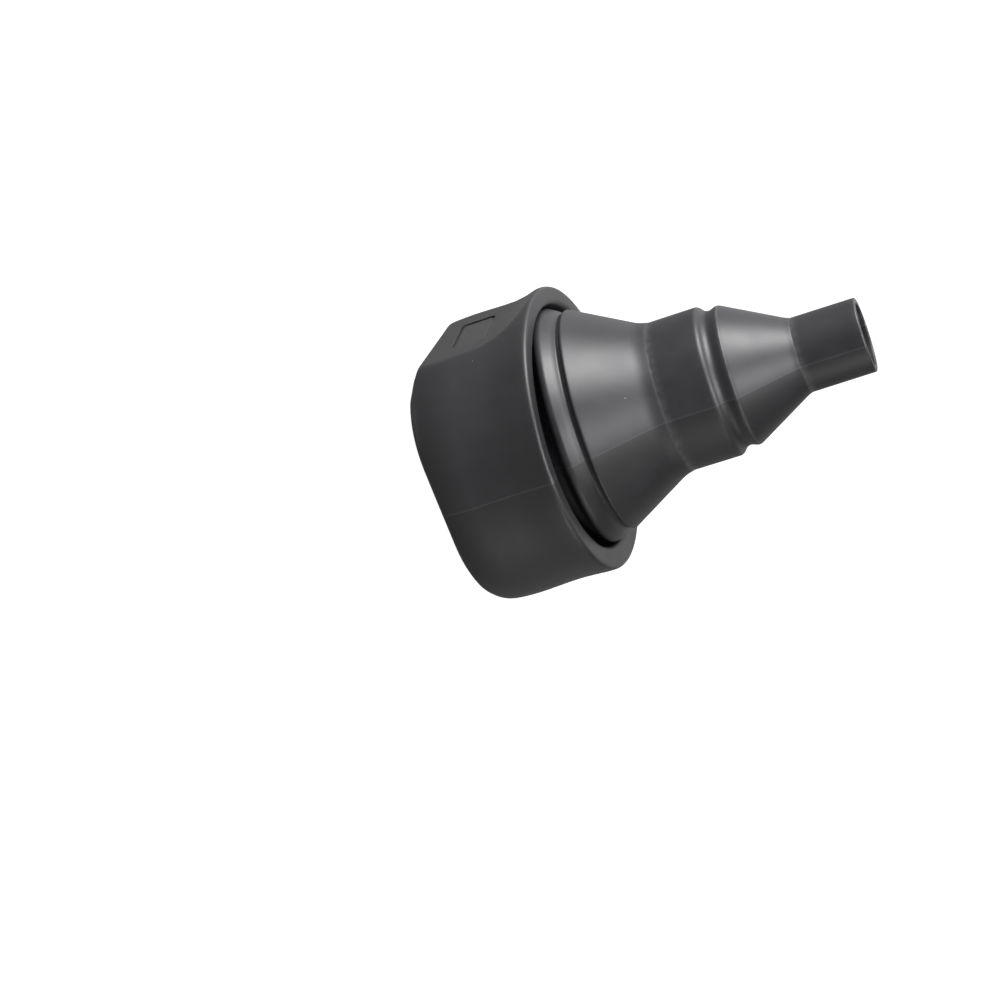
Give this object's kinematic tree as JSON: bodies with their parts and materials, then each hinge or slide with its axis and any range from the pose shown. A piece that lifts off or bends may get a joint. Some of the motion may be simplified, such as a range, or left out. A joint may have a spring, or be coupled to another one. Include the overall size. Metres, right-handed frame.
{
  "type": "snoot",
  "caption": "Collapsible rubber snoot for a speedlight flash: an oval stretch-on collar holds a two-stage cone whose webs fold inwards, narrowing the light to a small round outlet.",
  "frame": {"origin": "centre of the collar's rear rim, in the plane of the rim", "axes": "+Z along the optical axis from the flash head to the tip of the snoot, X along the wide side of the flash head, the flat label pad on the -Y side"},
  "size_m": [0.103, 0.097, 0.1438],
  "materials": {
    "collar_rubber": "satin moulded rubber, near black, faint pale dust",
    "snoot_rubber": "satin moulded rubber, charcoal, soft highlights"
  },
  "bodies": {
    "collar": {"mount_collar": "collar_rubber"},
    "snoot_base": {"snoot_base_ring": "snoot_rubber"},
    "middle": {"middle_tube": "snoot_rubber", "rear_cone": "snoot_rubber"},
    "tip": {"tip_tube": "snoot_rubber", "front_cone": "snoot_rubber"}
  },
  "joints": [
    {"name": "snoot_pull", "type": "slide", "parent": "collar", "child": "snoot_base", "axis": [0, 0, 1], "range_m": [0, 0.045]},
    {"name": "rear_fold", "type": "slide", "parent": "snoot_base", "child": "middle", "axis": [0, 0, -1], "range_m": [0, 0.0518], "deforming": ["rear_cone"]},
    {"name": "front_fold", "type": "slide", "parent": "middle", "child": "tip", "axis": [0, 0, -1], "range_m": [0, 0.0424], "deforming": ["front_cone"]}
  ]
}
